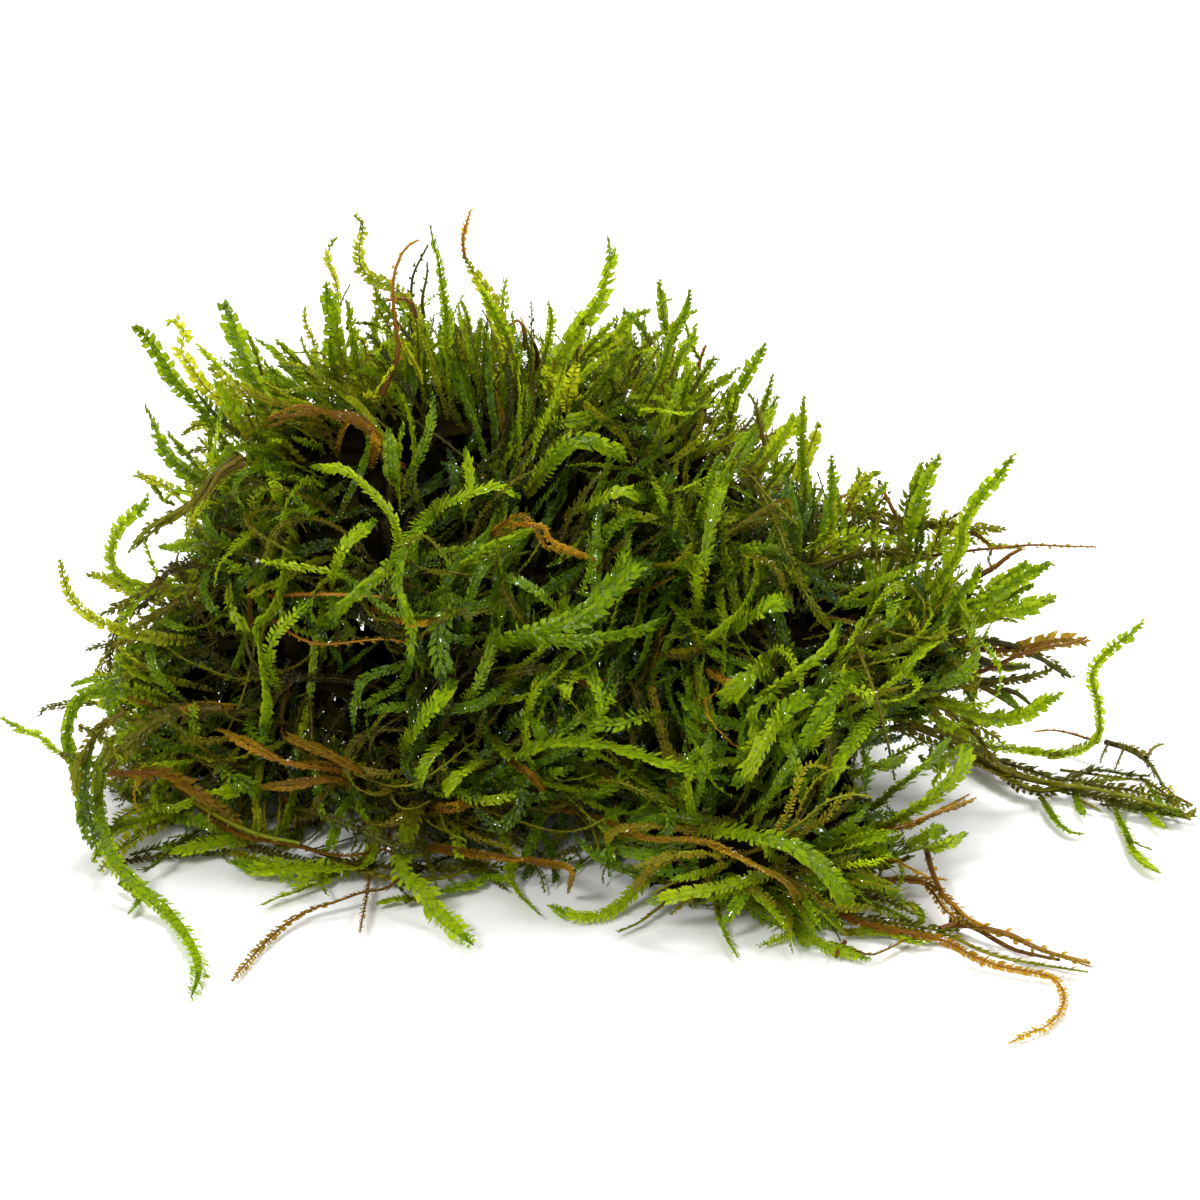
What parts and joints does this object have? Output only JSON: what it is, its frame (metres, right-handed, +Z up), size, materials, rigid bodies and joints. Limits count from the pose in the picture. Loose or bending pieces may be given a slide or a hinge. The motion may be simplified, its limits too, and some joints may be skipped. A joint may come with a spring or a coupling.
{
  "type": "moss clump",
  "caption": "Loose clump of wet leafy moss on a flat foot, with upright shoot tips, trailing leafy strands and bare rust-brown stems.",
  "frame": {"origin": "middle of the clump's box, on the ground that it rests on", "axes": "+Z up, +X to the right as the picture shows it, +Y away from the viewer"},
  "size_m": [0.1235, 0.0906, 0.0649],
  "materials": {
    "tangled_moss": "damp, dark green, tangled",
    "fresh_moss": "wet, bright green, leafy",
    "pale_moss": "damp, yellow-green, leafy",
    "olive_stem": "damp, olive brown, thin stem",
    "rust_stem": "dried, rust brown, thin stem"
  },
  "bodies": {
    "root": {"tangled_mat": "tangled_moss", "crown_shoot_1": "fresh_moss", "crown_shoot_2": "pale_moss", "crown_shoot_3": "fresh_moss", "crown_shoot_4": "pale_moss", "crown_shoot_5": "fresh_moss", "crown_shoot_6": "pale_moss", "crown_shoot_7": "fresh_moss", "crown_shoot_8": "pale_moss", "crown_shoot_9": "fresh_moss", "crown_shoot_10": "fresh_moss", "crown_shoot_11": "fresh_moss", "crown_shoot_12": "fresh_moss", "slope_shoot_1": "fresh_moss", "slope_shoot_2": "fresh_moss", "slope_shoot_3": "pale_moss", "slope_shoot_4": "fresh_moss", "right_shoot_1": "fresh_moss", "right_shoot_2": "fresh_moss", "right_shoot_3": "fresh_moss", "right_shoot_4": "fresh_moss", "right_shoot_5": "fresh_moss", "left_shoot_1": "fresh_moss", "left_shoot_2": "fresh_moss", "left_shoot_3": "olive_stem", "left_shoot_4": "pale_moss", "left_stem_bundle": "olive_stem", "far_left_shoot": "fresh_moss", "left_beaded_stem": "olive_stem", "hanging_shoot": "fresh_moss", "right_arm": "olive_stem", "right_arm_branch": "fresh_moss", "right_arm_side_twig": "fresh_moss", "right_arm_end_loop": "olive_stem", "left_floor_leaf": "pale_moss", "trailing_shoot": "fresh_moss", "brown_front_strand": "rust_stem", "front_left_shoot": "fresh_moss", "near_green_shoot": "fresh_moss", "front_middle_shoot": "fresh_moss", "long_arc_shoot": "fresh_moss", "dark_front_shoot": "olive_stem", "front_tip_shoot": "fresh_moss", "front_right_strand": "rust_stem", "hooked_strand": "rust_stem", "front_right_shoot": "fresh_moss", "wiry_loop_1": "olive_stem", "wiry_loop_2": "rust_stem", "right_olive_twig": "olive_stem", "long_brown_stem": "rust_stem", "amber_strand": "rust_stem", "rising_shoot": "fresh_moss", "back_shoot_1": "fresh_moss", "back_shoot_2": "fresh_moss", "back_shoot_3": "fresh_moss", "back_shoot_4": "fresh_moss", "back_shoot_5": "pale_moss", "back_shoot_6": "fresh_moss", "back_shoot_7": "fresh_moss"}
  },
  "joints": []
}
